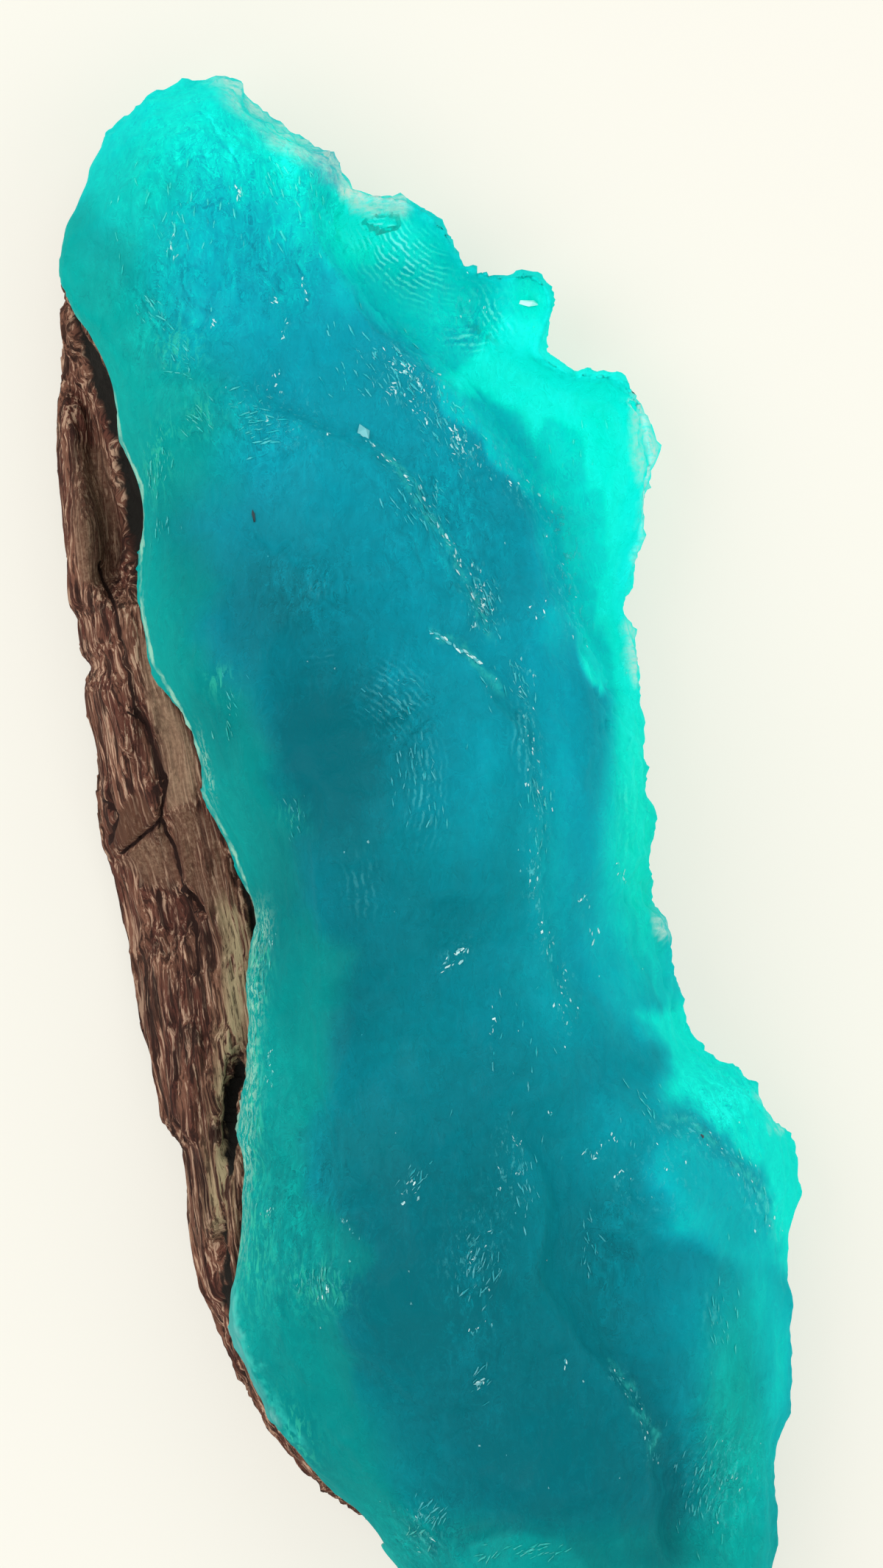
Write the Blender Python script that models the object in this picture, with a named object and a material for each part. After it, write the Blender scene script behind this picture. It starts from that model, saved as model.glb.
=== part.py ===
"""A hand specimen of blue hemimorphite grown on a strip of brown limonite.

The stone lies on its back. The two solids are drawn in the pose in which the stone is looked at,
with its tip leaning to the left, in millimetres. A parent empty then turns the long axis along +Y
and sets the origin under the middle of the whole stone.
"""

import math

import bmesh
import bpy
import numpy as np
from mathutils import Matrix, Vector, noise

MM = 0.001

# Driving dimensions, in millimetres and degrees
LEAN = 14.0  # of the long axis, from upright, in the pose the outlines are drawn in
CREST = 24.0  # height of the thickest part of the blue mass above the table
CREST_RADIUS = 24.0  # of the blue mass's round back, across the crest
MATRIX_RISE = 10.5  # height of the limonite where the blue mass meets it on the left
GAP = 0.3  # between the two solids

# Heights of the underside and of the front along the blue mass's edges
LEFT_BACK, LEFT_FRONT = 8.0, 14.6  # where it overhangs the limonite
RIGHT_BACK, RIGHT_FRONT = 4.6, 8.6
TIP_BACK, TIP_FRONT, TIP_START = 6.2, 10.8, 46.0
FOOT_BACK, FOOT_FRONT, FOOT_START = 3.2, 8.6, -40.0
EDGE_WAVE = 0.9  # that those heights go up and down by

# The front climbs from an edge to its full height over its shoulder, which is wider in places
SHOULDER, HIP_SHOULDER, FOOT_SHOULDER, SHOULDER_WAVE = 5.0, 7.0, 2.5, 2.0
HIP_START = 2.0
UNDER_SHOULDER = 9.0  # the same for the underside
THINNEST, MATRIX_THINNEST = 2.0, 0.8

# The limonite falls away on both sides of its contact line with the blue mass's left edge
OUTER_FALL, OUTER_CURVE, HIDDEN_FALL = 0.25, 0.055, 0.33
MATRIX_SHOULDER, MATRIX_BACK, MATRIX_BACK_SHOULDER = 2.2, 2.0, 3.5

# Rough ground: heights of its bumps
BREAKS = 1.3  # ridges between the shell-shaped breaks in the front
BREAK_SIZE, BREAK_LEAN = 9.0, 0.2
LUMPS, GRAINS, FIBRES, CONTACT_LUMPS = 0.7, 0.15, 0.9, 0.4
BACK_HOLLOWS, MATRIX_HOLLOWS = 3.0, 2.4
BLUE_CHIPS, MATRIX_CHIPS, CHIP_SIZE = 0.8, 0.3, 5.0  # how far the broken sides stand out

# The place cut for the limonite reaches past it: to the left, to the right, along and down
CUT_LEFT, CUT_RIGHT, CUT_STRETCH, CUT_DEPTH = 3.0, 0.9, 1.02, 4.0
CUT_SPARE = 0.3  # over the gap, because both surfaces are faceted

# Mesh density: rows run from the tip to the foot, columns from the left edge to the right edge
BLUE_ROWS, BLUE_COLUMNS, BLUE_FACES = 300, 72, 5200
MATRIX_ROWS, MATRIX_COLUMNS, MATRIX_FACES = 240, 44, 2900
CUT_FACES = 2400
SIDE_LEVELS = 6
LINE_POINTS = 300  # that a line is read at when distances to it are worked out
CHIP_SPAN = 4  # points along the edge, either way, that tell where outwards is
FLAT_SNAP = 0.12  # a point this near the table is part of the flat underside

# The blue mass seen from above: both edges run from its tip to its foot
BLUE_LEFT = [
    (-17.8, 60.2), (-20.4, 59.7), (-22.7, 59.3), (-25.7, 55.4), (-27.9, 52.1), (-28.4, 47.0),
    (-28.3, 44.7), (-26.7, 40.9), (-24.9, 37.1), (-23.8, 31.7), (-22.8, 28.5), (-22.5, 25.3),
    (-22.8, 21.3), (-21.6, 15.5), (-20.4, 13.4), (-18.7, 11.1), (-18.3, 8.8), (-18.4, 6.8),
    (-17.3, 5.7), (-15.0, 0.8), (-14.1, -1.3), (-14.0, -3.6), (-14.9, -7.9), (-14.5, -14.6),
    (-15.3, -19.3), (-14.8, -22.0), (-15.7, -26.4), (-16.1, -29.7), (-15.9, -33.6), (-14.9, -35.8),
    (-13.0, -40.5), (-9.4, -45.0), (-5.9, -48.8), (-1.9, -53.9), (1.1, -57.2), (5.0, -60.2),
    (9.6, -62.2), (14.0, -63.0),
]
BLUE_RIGHT = [
    (-16.4, 60.3), (-15.5, 60.0), (-14.7, 58.7), (-12.8, 57.4), (-10.9, 56.7), (-9.0, 55.4),
    (-8.0, 54.4), (-6.8, 52.0), (-4.2, 51.8), (-2.8, 51.5), (-1.3, 50.5), (0.1, 49.3),
    (1.0, 47.7), (2.3, 46.4), (4.6, 45.8), (7.1, 45.8), (7.8, 44.9), (8.2, 43.9),
    (7.9, 42.6), (6.9, 39.9), (9.2, 38.6), (13.7, 37.9), (15.4, 35.1), (15.8, 31.9),
    (15.3, 29.7), (15.2, 27.1), (13.5, 20.6), (14.9, 17.0), (15.3, 11.8), (15.0, 9.5),
    (15.7, 4.0), (15.5, -1.4), (16.4, -2.3), (17.7, -7.5), (19.3, -11.7), (22.3, -14.3),
    (24.0, -16.0), (26.3, -19.5), (26.9, -23.5), (25.8, -26.5), (26.0, -29.6), (26.3, -32.5),
    (26.1, -35.8), (26.1, -40.5), (24.8, -43.0), (25.1, -45.2), (25.0, -51.3), (24.8, -55.0),
    (23.1, -58.9), (19.8, -61.9), (15.6, -63.0),
]

# The limonite seen from above: the left edge shows, the right edge runs hidden under the blue mass
MATRIX_LEFT = [
    (-26.0, 52.0), (-28.4, 49.6), (-28.7, 40.2), (-28.9, 33.0), (-28.5, 27.5), (-28.0, 21.2),
    (-27.2, 20.0), (-27.0, 17.8), (-26.3, 16.4), (-26.7, 14.2), (-25.8, 6.2), (-25.6, 2.8),
    (-24.9, 1.2), (-24.2, -3.3), (-23.3, -4.8), (-23.0, -8.6), (-21.8, -14.9), (-20.9, -18.0),
    (-19.4, -20.4), (-18.7, -26.4), (-18.0, -30.9), (-16.7, -34.6), (-15.5, -38.2), (-13.7, -40.4),
    (-9.9, -45.1), (-6.6, -47.6), (-4.6, -48.8),
]
MATRIX_RIGHT = [
    (-24.4, 52.0), (-18.0, 50.0), (-12.5, 43.0), (-8.0, 34.0), (-7.0, 22.0), (-3.0, 12.0),
    (-2.5, 2.0), (1.0, -8.0), (2.0, -20.0), (5.5, -30.0), (5.0, -40.0), (1.0, -46.5),
    (-3.0, -48.8),
]

# The crest of the blue mass: along the stone, across it, and its height as a share of CREST
CREST_LINE = [
    (64.0, -18.0, 0.50), (50.0, -17.0, 0.66), (40.0, -14.0, 0.78), (30.0, -10.0, 0.86),
    (20.0, -6.0, 0.94), (8.0, -3.0, 0.97), (-5.0, -1.0, 0.92), (-18.0, 2.0, 0.95),
    (-32.0, 3.0, 1.00), (-45.0, 6.0, 0.92), (-56.0, 10.0, 0.76), (-66.0, 13.0, 0.60),
]

# Broken steps in the front, each a line down the stone with the lower ground on its right:
# the line, the drop, how wide the step's slope is, and how far the lower ground reaches
STEPS = [
    ([(-10.0, 54.0), (-8.0, 48.0), (-5.5, 43.5), (-2.2, 40.2), (2.2, 37.4), (5.0, 33.5),
      (7.2, 28.6), (8.8, 23.0), (10.5, 18.7), (12.4, 16.0), (13.0, 9.0)], 6.5, 1.6, 40.0),
    ([(-15.3, 36.9), (-8.8, 34.4), (-5.5, 33.0), (-2.2, 29.9), (-0.1, 26.3), (2.2, 21.3),
      (3.9, 17.7)], 1.7, 0.8, 7.0),
    ([(-1.0, 18.8), (2.8, 16.4), (6.6, 11.0), (7.4, 5.5), (8.2, -4.0), (9.4, -10.0)], 1.6, 0.9, 8.0),
    ([(4.2, -16.5), (7.4, -20.0), (8.6, -24.0), (8.2, -29.0), (11.8, -35.5), (13.5, -37.0),
      (15.1, -39.7), (16.0, -42.2), (16.8, -47.3), (16.5, -52.0)], 2.4, 1.1, 9.0),
    ([(-12.0, 12.0), (-9.3, 6.0), (-10.5, 0.0), (-9.5, -6.0), (-10.2, -14.0), (-8.0, -22.0),
      (-9.0, -32.0), (-6.0, -38.0)], -1.5, 2.2, 12.0),
]

STEP_END = 0.12  # share of a step's length in which it comes up from nothing at either end

# Round swellings: middle, radius, and how high each stands above the ground under it
SWELLINGS = [
    ((5.9, 43.0), 3.8, 4.4),  # the knob beside the notch in the right edge
    ((-2.2, 49.0), 4.4, 1.8),
    ((11.0, 33.5), 6.0, 1.6),
    ((19.5, -21.5), 10.5, 3.0),  # the shell-like bulge of the right hip
    ((19.5, -36.5), 9.0, 2.2),
    ((5.6, -56.0), 9.0, 4.2),  # the dome at the foot
    ((-1.5, 4.0), 12.0, 1.8),
    ((-20.5, 52.0), 8.5, 1.5),
    ((1.0, -30.0), 12.0, 1.5),
    ((-11.0, -27.0), 7.5, 1.2),
]

# Shallow shell-shaped hollows where flakes broke off: middle, radius and depth
HOLLOWS = [
    ((-9.5, 42.0), 9.0, 1.6),
    ((-16.5, 27.0), 8.5, 1.3),
    ((0.2, 44.6), 5.0, 1.7),
    ((4.0, 27.0), 7.5, 1.1),
    ((-5.5, 14.0), 8.0, 1.0),
    ((2.0, -9.5), 9.0, 1.5),
    ((12.0, -7.0), 7.0, 1.0),
    ((-8.0, -14.0), 7.0, 1.2),
    ((13.5, -29.0), 6.5, 1.5),
    ((-7.5, -42.0), 8.0, 1.2),
    ((19.5, -47.5), 6.5, 1.3),
    ((0.0, -44.0), 7.0, 0.9),
    ((11.5, 20.0), 5.0, 0.9),
    ((-20.0, 42.0), 5.5, 0.9),
]

# Dark slots along the contact, where the limonite is set back: first and last height, width, depth
SLOTS = [
    (42.5, 20.5, 1.9, 4.5),
    (-12.0, -21.5, 0.9, 2.6),
    (-25.0, -41.0, 1.1, 2.6),
]
SLOT_END = 3.0  # length over which a slot comes up to the ground at either end


def smooth(share):
    """0 below 0, 1 above 1, and a soft climb between."""
    share = np.clip(share, 0.0, 1.0)
    return share * share * (3.0 - 2.0 * share)


def along(line, count):
    """Points spaced evenly along a line of points, with both ends."""
    points = np.array(line, float)
    steps = np.hypot(*np.diff(points, axis=0).T)
    travelled = np.concatenate([[0.0], np.cumsum(steps)])
    wanted = np.linspace(0.0, travelled[-1], count)
    return np.stack([np.interp(wanted, travelled, points[:, axis]) for axis in (0, 1)], axis=1)


def nearest(x, y, line):
    """Distance to a line of points, positive to the right of its way down, and the share passed."""
    points = along(line, LINE_POINTS)
    shape = x.shape
    spots = np.stack([x.ravel(), y.ravel()], axis=1)
    best = np.empty(len(spots), int)
    for start in range(0, len(spots), 4000):
        part = spots[start : start + 4000]
        squares = ((part[:, None, :] - points[None, :, :]) ** 2).sum(axis=2)
        best[start : start + 4000] = squares.argmin(axis=1)
    way = np.gradient(points, axis=0)[best]
    step = np.hypot(way[:, 0], way[:, 1])
    way = way / step[:, None]
    away = spots - points[best]
    across = way[:, 0] * away[:, 1] - way[:, 1] * away[:, 0]
    past = np.clip(np.abs((way * away).sum(axis=1)) - step / 2, 0.0, None)
    distance = np.hypot(across, past) * np.where(across > 0, 1.0, -1.0)
    return distance.reshape(shape), (best / (len(points) - 1)).reshape(shape)


def rough(x, y, size, seed):
    """Smooth random ground between about -1 and 1, with bumps of the given size."""
    flat = zip(x.ravel() / size, y.ravel() / size)
    values = [noise.fractal(Vector((a, b, seed)), 1.0, 2.1, 3) for a, b in flat]
    return np.array(values).reshape(x.shape)


def scallops(x, y, size, seed):
    """Shell-shaped breaks of about this size, which meet in crisp ridges and lean at random."""
    values = []
    for a, b in zip(x.ravel() / size, y.ravel() / size):
        spot = Vector((a, b, seed))
        distances, centres = noise.voronoi(spot)
        lean = noise.cell_vector(centres[0] * 9.0) * 2.0 - Vector((1.0, 1.0, 1.0))
        values.append(distances[0] ** 2 + BREAK_LEAN * lean.dot(spot - centres[0]))
    return np.array(values).reshape(x.shape)


def mix(first, second, share):
    """first where share is 0, second where it is 1."""
    return first + (second - first) * share


def dome(x, y, middle, radius):
    """1 in the middle of a round patch, 0 at its radius and beyond."""
    return np.clip(1.0 - ((x - middle[0]) ** 2 + (y - middle[1]) ** 2) / radius**2, 0.0, None)


def quarter_round(share):
    """A climb from 0 to 1 like a quarter of a circle, steep first and level at the end."""
    return np.sqrt(1.0 - (1.0 - np.clip(share, 0.0, 1.0)) ** 2)


def front(x, y):
    """Height of the blue mass's front, before it turns down to its edges."""
    lengths, places, shares = (np.array(c) for c in zip(*reversed(CREST_LINE)))
    middle = np.interp(y, lengths, places)
    height = CREST * np.interp(y, lengths, shares)
    height = height - (x - middle) ** 2 / (2.0 * CREST_RADIUS)
    for line, drop, slope, reach in STEPS:
        side, passed = nearest(x, y, line)
        ends = smooth(np.minimum(passed, 1.0 - passed) / STEP_END)
        fade = np.exp(-np.clip(side, 0.0, None) / reach)
        height = height - drop * smooth(side / slope + 0.5) * fade * ends
    for middle, radius, rise in SWELLINGS:
        height = height + rise * dome(x, y, middle, radius) ** 1.5
    for middle, radius, depth in HOLLOWS:
        height = height - depth * dome(x, y, middle, radius)
    height = height + BREAKS * scallops(x, y, BREAK_SIZE, seed=5.5)
    return height + LUMPS * rough(x, y, 10.0, seed=3.0) + GRAINS * rough(x, y, 3.5, seed=8.0)


def matrix_top(x, y):
    """Height of the limonite: a slope beside the blue mass and the contact under it."""
    side, _ = nearest(x, y, BLUE_LEFT)  # positive to the right of the blue mass's left edge
    outside = np.clip(-side, 0.0, None)
    beneath = np.clip(side, 0.0, None)
    height = MATRIX_RISE - OUTER_CURVE * outside**2 - OUTER_FALL * outside - HIDDEN_FALL * beneath
    for first, last, width, depth in SLOTS:
        window = smooth((first - y) / SLOT_END) * smooth((y - last) / SLOT_END)
        height = height - depth * window * np.exp(-1.6 * (side / width + 1.2) ** 2)
    shown = smooth(outside / 1.5)
    height = height + FIBRES * shown * rough(x * 3.0, y * 0.5, 5.0, seed=21.0)
    return height + CONTACT_LUMPS * rough(x, y, 6.0, seed=14.0)


def sheet(left, right, rows, columns):
    """Grid of points between two edges, closer together near the edges."""
    a, b = along(left, rows), along(right, rows)
    share = 0.5 - 0.5 * np.cos(np.linspace(0.0, math.pi, columns))
    share = 0.5 * share + 0.5 * np.linspace(0.0, 1.0, columns)
    points = a[:, None, :] + (b - a)[:, None, :] * share[None, :, None]
    return points[:, :, 0], points[:, :, 1]


def edge_distance(x, y, left, right):
    """Distance from each point to the nearer edge."""
    a, _ = nearest(x, y, left)
    b, _ = nearest(x, y, right)
    return np.minimum(np.abs(a), np.abs(b))


def blue_heights(x, y):
    """Front and back heights of the blue mass, drawn together at its edges."""
    inside = edge_distance(x, y, BLUE_LEFT, BLUE_RIGHT)
    rightness = smooth((nearest(x, y, BLUE_LEFT)[0] - 4.0) / 12.0)
    tip, foot = smooth((y - TIP_START) / 10.0), smooth((FOOT_START - y) / 16.0)
    wave = EDGE_WAVE * rough(x, y, 8.0, seed=40.0)
    back_edge = mix(mix(LEFT_BACK, RIGHT_BACK, rightness), TIP_BACK, tip)
    back_edge = mix(back_edge, FOOT_BACK, foot) + wave
    front_edge = mix(mix(LEFT_FRONT, RIGHT_FRONT, rightness), TIP_FRONT, tip)
    front_edge = mix(front_edge, FOOT_FRONT, foot) + wave
    hip = rightness * smooth((HIP_START - y) / 12.0)
    shoulder = SHOULDER + HIP_SHOULDER * hip + FOOT_SHOULDER * foot
    shoulder = shoulder + SHOULDER_WAVE * rough(x, y, 11.0, seed=51.0)
    top = mix(front_edge, front(x, y), quarter_round(inside / shoulder))
    hollow = np.clip(BACK_HOLLOWS * rough(x, y, 12.0, seed=77.0) - 0.2, 0.0, None)
    bottom = mix(back_edge, hollow, smooth(inside / UNDER_SHOULDER))
    return top, np.clip(bottom, 0.0, top - THINNEST)


def matrix_heights(x, y):
    """Top and underside heights of the limonite."""
    inside = edge_distance(x, y, MATRIX_LEFT, MATRIX_RIGHT)
    top = matrix_top(x, y)
    top = mix(0.5 * top, top, quarter_round(inside / MATRIX_SHOULDER))
    hollow = np.clip(MATRIX_HOLLOWS * rough(x * 1.6, y, 9.0, seed=63.0) - 0.2, 0.0, None)
    bottom = mix(MATRIX_BACK, hollow, smooth(inside / MATRIX_BACK_SHOULDER))
    return top, np.clip(bottom, 0.0, top - MATRIX_THINNEST)


def closed_mesh(name, x, y, top, bottom, chips):
    """One closed skin: the top grid, the bottom grid, and broken sides that join their edges."""
    rows, columns = x.shape
    shape = bmesh.new()

    def layer(heights):
        spots = np.stack([x, y, heights], axis=2)
        return [[shape.verts.new(spots[i, j]) for j in range(columns)] for i in range(rows)]

    upper, lower = layer(top), layer(bottom)
    for i in range(rows - 1):
        for j in range(columns - 1):
            shape.faces.new((upper[i][j], upper[i + 1][j], upper[i + 1][j + 1], upper[i][j + 1]))
            shape.faces.new((lower[i][j], lower[i][j + 1], lower[i + 1][j + 1], lower[i + 1][j]))
    ring = [(i, 0) for i in range(rows)] + [(rows - 1, j) for j in range(1, columns)]
    ring += [(i, columns - 1) for i in range(rows - 2, -1, -1)]
    ring += [(0, j) for j in range(columns - 2, 0, -1)]
    loops = [[upper[i][j] for i, j in ring]]
    for level in range(1, SIDE_LEVELS):
        share = level / SIDE_LEVELS
        loops.append([])
        for k, (i, j) in enumerate(ring):
            spot = upper[i][j].co.lerp(lower[i][j].co, share)
            before, after = ring[k - CHIP_SPAN], ring[(k + CHIP_SPAN) % len(ring)]
            way = upper[after[0]][after[1]].co - upper[before[0]][before[1]].co
            out = Vector((way.y, -way.x, 0.0)).normalized()
            chip = chips * (0.6 + noise.noise(spot / CHIP_SIZE))
            loops[-1].append(shape.verts.new(spot + out * math.sin(math.pi * share) * chip))
    loops.append([lower[i][j] for i, j in ring])
    for first, second in zip(loops, loops[1:]):
        for k in range(len(ring)):
            n = (k + 1) % len(ring)
            shape.faces.new((first[k], first[n], second[n], second[k]))
    bmesh.ops.recalc_face_normals(shape, faces=shape.faces)
    mesh = bpy.data.meshes.new(name)
    shape.to_mesh(mesh)
    shape.free()
    return mesh


def thinned(mesh, faces):
    """The mesh in metres, with about this many triangles and an underside that is truly flat.

    It is thinned while it is still in millimetres, where the lengths are large enough for Decimate
    to weigh one edge against another.
    """
    holder = bpy.data.objects.new(mesh.name, mesh)
    bpy.context.scene.collection.objects.link(holder)
    triangles = sum(len(p.vertices) - 2 for p in mesh.polygons)
    fewer = holder.modifiers.new("fewer faces", "DECIMATE")
    fewer.ratio = faces / triangles
    seen = holder.evaluated_get(bpy.context.evaluated_depsgraph_get())
    result = bpy.data.meshes.new_from_object(seen)
    bpy.data.objects.remove(holder)
    for vertex in result.vertices:
        if abs(vertex.co.z) < FLAT_SNAP:
            vertex.co.z = 0.0
    result.transform(Matrix.Scale(MM, 4))
    return result


def stone(name, mesh, colour, roughness):
    """An object with a material of its own."""
    material = bpy.data.materials.new(name)
    material.use_nodes = True
    shader = material.node_tree.nodes["Principled BSDF"]
    shader.inputs["Base Color"].default_value = (*colour, 1.0)
    shader.inputs["Roughness"].default_value = roughness
    shader.inputs["Metallic"].default_value = 0.0
    mesh.materials.clear()
    mesh.materials.append(material)
    thing = bpy.data.objects.new(name, mesh)
    bpy.context.scene.collection.objects.link(thing)
    return thing


def make_matrix():
    """The limonite: a wedge, thick on the left, that thins out under the blue mass."""
    x, y = sheet(MATRIX_LEFT, MATRIX_RIGHT, MATRIX_ROWS, MATRIX_COLUMNS)
    skin = closed_mesh("limonite", x, y, *matrix_heights(x, y), MATRIX_CHIPS)
    return stone("limonite_matrix", thinned(skin, MATRIX_FACES), (0.16, 0.085, 0.055), 0.85)


def make_cutter():
    """The limonite's place in the blue mass: its top raised by the gap, and carried below the table."""
    left = [(x - CUT_LEFT, y * CUT_STRETCH) for x, y in MATRIX_LEFT]
    right = [(x + CUT_RIGHT, y * CUT_STRETCH) for x, y in MATRIX_RIGHT]
    x, y = sheet(left, right, MATRIX_ROWS, MATRIX_COLUMNS)
    top = matrix_top(x, y) + GAP + CUT_SPARE
    skin = closed_mesh("contact_cutter", x, y, top, np.full_like(top, -CUT_DEPTH), 0.0)
    cutter = stone("contact_cutter", thinned(skin, CUT_FACES), (0.5, 0.5, 0.5), 0.5)
    cutter.hide_render = True
    cutter.display_type = "WIRE"
    return cutter


def make_blue(cutter):
    """The hemimorphite: one broken mass, cut away where it sits on the limonite."""
    x, y = sheet(BLUE_LEFT, BLUE_RIGHT, BLUE_ROWS, BLUE_COLUMNS)
    skin = closed_mesh("blue", x, y, *blue_heights(x, y), BLUE_CHIPS)
    blue = stone("hemimorphite", thinned(skin, BLUE_FACES), (0.0, 0.42, 0.45), 0.25)
    cut = blue.modifiers.new("contact", "BOOLEAN")
    cut.operation = "DIFFERENCE"
    cut.solver = "EXACT"
    cut.object = cutter
    return blue


def stand(pieces):
    """Turns the long axis along +Y and puts the origin under the middle of the whole stone."""
    frame = bpy.data.objects.new("specimen", None)
    bpy.context.scene.collection.objects.link(frame)
    turn = Matrix.Rotation(-math.radians(LEAN), 3, "Z")
    frame.rotation_euler = turn.to_euler()
    spots = [turn @ v.co for piece in pieces if not piece.hide_render for v in piece.data.vertices]
    middle = (np.min(spots, axis=0) + np.max(spots, axis=0)) / 2
    frame.location = (-middle[0], -middle[1], 0.0)
    for piece in pieces:
        piece.parent = frame


def main():
    for old in list(bpy.data.objects):
        bpy.data.objects.remove(old)
    matrix = make_matrix()
    cutter = make_cutter()
    stand([make_blue(cutter), matrix, cutter])


main()
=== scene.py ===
# Blue hemimorphite on a strip of brown limonite: its looks, a table, soft light and a camera above it
import random
from math import atan2, cos, degrees, pi, radians, sin

import bpy
import numpy as np
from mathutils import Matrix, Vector, noise
from mathutils.bvhtree import BVHTree
from mathutils.kdtree import KDTree


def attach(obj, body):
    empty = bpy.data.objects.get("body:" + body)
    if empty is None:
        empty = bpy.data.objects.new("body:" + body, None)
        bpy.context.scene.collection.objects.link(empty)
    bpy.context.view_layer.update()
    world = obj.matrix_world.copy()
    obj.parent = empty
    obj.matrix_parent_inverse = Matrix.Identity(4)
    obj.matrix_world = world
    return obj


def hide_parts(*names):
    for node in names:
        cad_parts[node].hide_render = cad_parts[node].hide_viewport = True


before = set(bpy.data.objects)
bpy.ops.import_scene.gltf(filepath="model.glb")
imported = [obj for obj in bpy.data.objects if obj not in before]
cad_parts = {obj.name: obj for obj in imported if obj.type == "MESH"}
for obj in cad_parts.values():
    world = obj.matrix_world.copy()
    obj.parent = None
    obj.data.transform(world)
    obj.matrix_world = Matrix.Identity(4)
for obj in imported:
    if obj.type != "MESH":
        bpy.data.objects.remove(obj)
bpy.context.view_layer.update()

mm = 0.001

# The camera hangs over the stone; the places below are in pixels of its 1200 x 2132 picture. A patch is its
# middle, its reach across and down, and its turn in degrees. Paints take colours as on a screen, 0 to 255
view = {
    "width": 1200,
    "height": 2132,
    "pixel": 0.055 * mm,  # size of a pixel on the level below
    "level": 20 * mm,  # above the table
    "distance": 900 * mm,  # of the camera from that level
    "lean": 14.0,  # degrees that the stone leans to the left in the picture
    "middle": (2.53 * mm, 8.25 * mm),  # of the picture, on the stone
}

# Placing

leanAngle = radians(view["lean"])
viewRight = np.array([cos(leanAngle), -sin(leanAngle), 0.0])
viewUp = np.array([sin(leanAngle), cos(leanAngle), 0.0])
cameraHeight = view["level"] + view["distance"]


def toPicture(points):  # pixels of points on the stone
    away = points - np.array([*view["middle"], 0.0])
    reach = view["distance"] / (cameraHeight - points[:, 2]) / view["pixel"]
    across = view["width"] / 2 + (away @ viewRight) * reach
    down = view["height"] / 2 - (away @ viewUp) * reach
    return np.stack([across, down], axis=1)


def underPixel(tree, spot):  # the point of the stone that shows at a pixel, the way it faces, its face
    start = Vector((*view["middle"], cameraHeight))
    across = (spot[0] - view["width"] / 2) * view["pixel"]
    up = (view["height"] / 2 - spot[1]) * view["pixel"]
    way = Vector(viewRight * across + viewUp * up) - Vector((0.0, 0.0, view["distance"]))
    found = tree.ray_cast(start, way.normalized())
    return found[:3]


def clearSelection():
    if bpy.context.object and bpy.context.object.mode != "OBJECT":
        bpy.ops.object.mode_set(mode="OBJECT")
    bpy.ops.object.select_all(action="DESELECT")


def pick(thing):
    clearSelection()
    thing.select_set(True)
    bpy.context.view_layer.objects.active = thing


def addThing(name, data):
    thing = bpy.data.objects.new(name, data)
    bpy.context.scene.collection.objects.link(thing)
    return thing


def evenCopy(node, name, voxel, smoothing):  # a CAD node's mesh with even faces, smoothed in some rounds
    thing = addThing(name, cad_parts[node].data.copy())
    thing.data.materials.clear()
    pick(thing)
    bpy.ops.object.mode_set(mode="EDIT")
    bpy.ops.mesh.select_all(action="SELECT")
    bpy.ops.mesh.remove_doubles(threshold=0.001 * mm)
    bpy.ops.object.mode_set(mode="OBJECT")
    useModifier(thing, "REMESH", mode="VOXEL", voxel_size=voxel)
    useModifier(thing, "SMOOTH", iterations=smoothing)
    return thing


def useModifier(thing, kind, **settings):
    pick(thing)
    bpy.ops.object.modifier_add(type=kind)
    modifier = thing.modifiers[-1]
    for setting, value in settings.items():
        setattr(modifier, setting, value)
    bpy.ops.object.modifier_apply(modifier=modifier.name)


def finish(thing, material, smooth=True):
    thing.data.materials.append(material)
    if smooth:
        pick(thing)
        bpy.ops.object.shade_smooth()
    print(thing.name, "made:", len(thing.data.polygons), "faces")
    return thing


def pointsOf(thing, kind="co"):  # its points, or with "normal" the ways that they face
    values = np.empty(len(thing.data.vertices) * 3)
    thing.data.vertices.foreach_get(kind, values)
    return values.reshape(-1, 3)


def movePoints(thing, points):
    thing.data.vertices.foreach_set("co", points.ravel())
    thing.data.update()


def pushOut(thing, rise):  # moves the points out by millimetres, but keeps what lies on the table there
    points = pointsOf(thing)
    low = soft(points[:, 2] / (0.8 * mm))
    points += pointsOf(thing, "normal") * (rise * low * mm)[:, None]
    points[:, 2] = np.maximum(points[:, 2], 0.0)
    movePoints(thing, points)


def giveValues(thing, **values):  # numbers at its points, which the paints read by name
    for name, numbers in values.items():
        attribute = thing.data.attributes.new(name, "FLOAT", "POINT")
        attribute.data.foreach_set("value", np.array(numbers, np.float32))


def finderOf(points):  # finds the nearest of many points
    finder = KDTree(len(points))
    for index, spot in enumerate(points):
        finder.insert(spot, index)
    finder.balance()
    return finder


# Fields over the stone's points

def soft(share):
    share = np.clip(share, 0, 1)
    return share * share * (3.0 - 2.0 * share)


def bumps(points, size, seed):
    shift = Vector((seed, seed, seed))
    return np.array([noise.fractal(Vector(spot) + shift, 1.0, 2.1, 3) for spot in points / size])


def strayed(spots, points, far, size, *seeds):  # the same pixels moved a little, for ragged outlines
    return spots + far * np.stack([bumps(points, size, seed) for seed in seeds], axis=1)


def shells(points, size, seed):  # shallow breaks that meet in crisp ridges
    values = np.empty(len(points))
    for index, spot in enumerate(points / size):
        place = Vector(spot) + Vector((seed, seed, seed))
        distances, centres = noise.voronoi(place)
        lean = noise.cell_vector(centres[0] * 9.0) * 2.0 - Vector((1.0, 1.0, 1.0))
        values[index] = distances[0] ** 2 + 0.3 * lean.dot(place - centres[0])
    return values


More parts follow.
